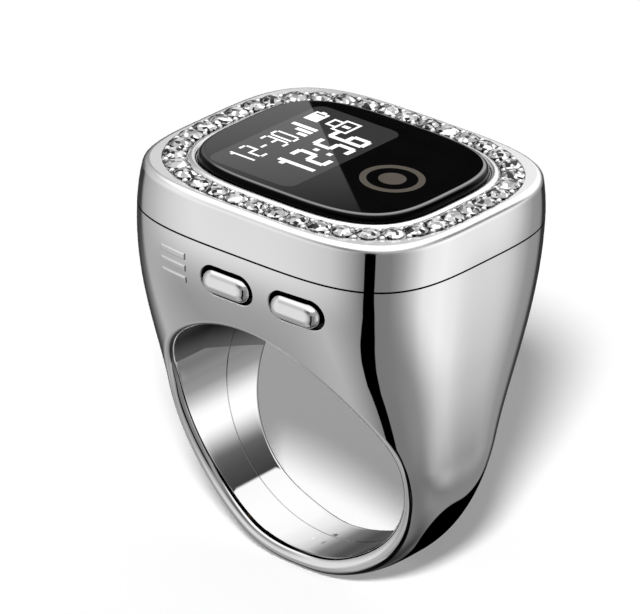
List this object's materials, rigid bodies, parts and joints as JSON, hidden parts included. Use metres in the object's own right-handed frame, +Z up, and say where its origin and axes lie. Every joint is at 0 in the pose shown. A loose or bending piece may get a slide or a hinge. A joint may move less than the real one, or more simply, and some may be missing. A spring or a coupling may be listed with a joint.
{
  "type": "digital tally counter ring",
  "caption": "Chrome finger ring with a dark glass display face, a halo of clear stones and side push buttons, used to count recitations on the finger.",
  "frame": {"origin": "centre of the finger bore", "axes": "+Y along the finger bore, away from the buttons; +Z up through the glass; +X to the right as the buttons face the viewer"},
  "size_m": [0.026, 0.0236, 0.0319],
  "materials": {
    "polished_metal": "mirror polished, plated",
    "button_metal": "mirror polished, plated",
    "clear_stone": "clear, brilliant cut",
    "dark_glass": "black, polished, rounded edge",
    "seal_rubber": "black silicone",
    "clear_adhesive": "clear film",
    "foam_tape": "black foam",
    "display_cell": "dark cell with polarizer",
    "flex_film": "amber film with copper",
    "circuit_board": "green solder mask",
    "chip_plastic": "black moulding",
    "chip_ceramic": "fired ceramic",
    "frame_plastic": "dark grey moulding",
    "works_steel": "plain steel and nickel",
    "cell_foil": "laminated foil",
    "rotor_weight": "sintered heavy metal",
    "contact_gold": "gold plated"
  },
  "bodies": {
    "ring": {"ring_body": "polished_metal", "top_cover": "polished_metal", "stone_setting": "polished_metal", "halo_stones": "clear_stone", "window_glass": "dark_glass", "cover_gasket": "seal_rubber", "window_adhesive": "clear_adhesive", "display_adhesive": "clear_adhesive", "battery_tape": "foam_tape", "motor_tape": "foam_tape", "display_panel": "display_cell", "display_flex": "flex_film", "charge_flex": "flex_film", "touch_electrode": "flex_film", "main_board": "circuit_board", "switch_board": "circuit_board", "processor_chip": "chip_plastic", "charger_chip": "chip_plastic", "display_connector": "chip_plastic", "left_switch_housing": "chip_plastic", "right_switch_housing": "chip_plastic", "chip_antenna": "chip_ceramic", "board_passives": "chip_ceramic", "inner_frame": "frame_plastic", "contact_bushes": "frame_plastic", "frame_screws": "works_steel", "motor_base": "works_steel", "motor_can": "works_steel", "motor_shaft": "works_steel", "battery_tabs": "works_steel", "clock_crystal": "works_steel", "battery_cell": "cell_foil", "charge_contacts": "contact_gold"},
    "left_button": {"left_button": "button_metal", "left_button_seal": "seal_rubber", "left_button_clip": "works_steel", "left_switch_plunger": "frame_plastic"},
    "right_button": {"right_button": "button_metal", "right_button_seal": "seal_rubber", "right_button_clip": "works_steel", "right_switch_plunger": "frame_plastic"},
    "motor_rotor": {"motor_rotor": "rotor_weight"}
  },
  "joints": [
    {"name": "left_button_press", "type": "slide", "parent": "ring", "child": "left_button", "axis": [0, 1, 0], "range_m": [0, 0.00035], "stiffness_N_per_m": 1500},
    {"name": "right_button_press", "type": "slide", "parent": "ring", "child": "right_button", "axis": [0, 1, 0], "range_m": [0, 0.00035], "stiffness_N_per_m": 1500},
    {"name": "rotor_spin", "type": "hinge", "parent": "ring", "child": "motor_rotor", "pos_m": [0.00722, 0, 0.0127], "axis": [0, 0, 1], "continuous": true}
  ]
}
